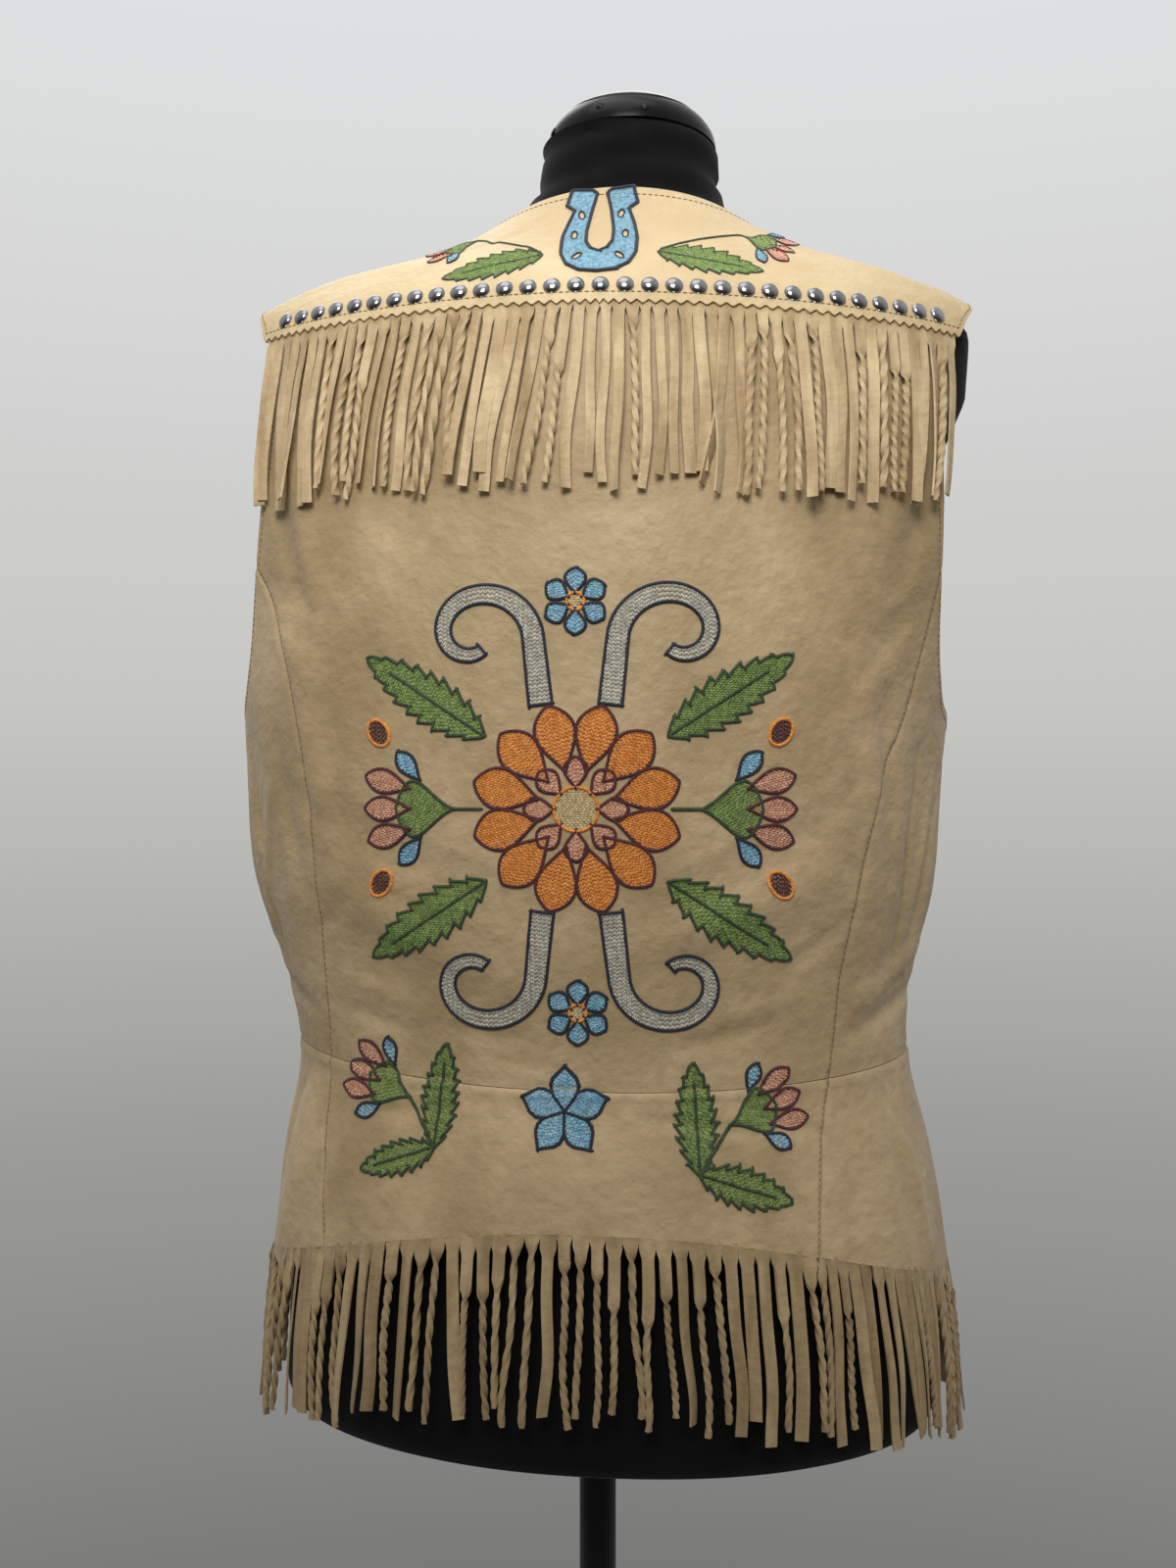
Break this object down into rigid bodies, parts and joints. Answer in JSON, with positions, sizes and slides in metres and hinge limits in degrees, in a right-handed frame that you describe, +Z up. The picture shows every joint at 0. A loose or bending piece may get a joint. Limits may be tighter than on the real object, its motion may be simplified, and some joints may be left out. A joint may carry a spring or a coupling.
{
  "type": "western vest on dress form",
  "caption": "Sleeveless fringed suede western vest with studded back yoke, open front and peplum, worn on a limbless dress form with pole and round base.",
  "frame": {"origin": "centre of the round base plate's underside, on the floor", "axes": "+Z up; the wearer faces -Y, so +Y is the back of the vest and +X the wearer's left"},
  "size_m": [0.4582, 0.3, 1.3203],
  "materials": {
    "suede": "cream smooth suede, matte",
    "jersey": "black knitted jersey",
    "cap_gloss": "black gloss",
    "stud_steel": "dark polished nickel",
    "stand_paint": "black satin paint"
  },
  "bodies": {
    "root": {"back_yoke": "suede", "yoke_fringe": "suede", "back_centre": "suede", "back_side_left": "suede", "back_side_right": "suede", "front_left": "suede", "front_right": "suede", "skirt_back": "suede", "skirt_side_left": "suede", "skirt_side_right": "suede", "skirt_front_left": "suede", "skirt_front_right": "suede", "hem_fringe_back": "suede", "hem_fringe_side_left": "suede", "hem_fringe_side_right": "suede", "hem_fringe_front_left": "suede", "hem_fringe_front_right": "suede", "yoke_stud_01": "stud_steel", "yoke_stud_02": "stud_steel", "yoke_stud_03": "stud_steel", "yoke_stud_04": "stud_steel", "yoke_stud_05": "stud_steel", "yoke_stud_06": "stud_steel", "yoke_stud_07": "stud_steel", "yoke_stud_08": "stud_steel", "yoke_stud_09": "stud_steel", "yoke_stud_10": "stud_steel", "yoke_stud_11": "stud_steel", "yoke_stud_12": "stud_steel", "yoke_stud_13": "stud_steel", "yoke_stud_14": "stud_steel", "yoke_stud_15": "stud_steel", "yoke_stud_16": "stud_steel", "yoke_stud_17": "stud_steel", "yoke_stud_18": "stud_steel", "yoke_stud_19": "stud_steel", "yoke_stud_20": "stud_steel", "yoke_stud_21": "stud_steel", "yoke_stud_22": "stud_steel", "yoke_stud_23": "stud_steel", "yoke_stud_24": "stud_steel", "yoke_stud_25": "stud_steel", "yoke_stud_26": "stud_steel", "yoke_stud_27": "stud_steel", "yoke_stud_28": "stud_steel", "yoke_stud_29": "stud_steel", "yoke_stud_30": "stud_steel", "yoke_stud_31": "stud_steel", "form_torso": "jersey", "form_neck_cap": "cap_gloss", "stand_pole": "stand_paint", "stand_base": "stand_paint"}
  },
  "joints": []
}
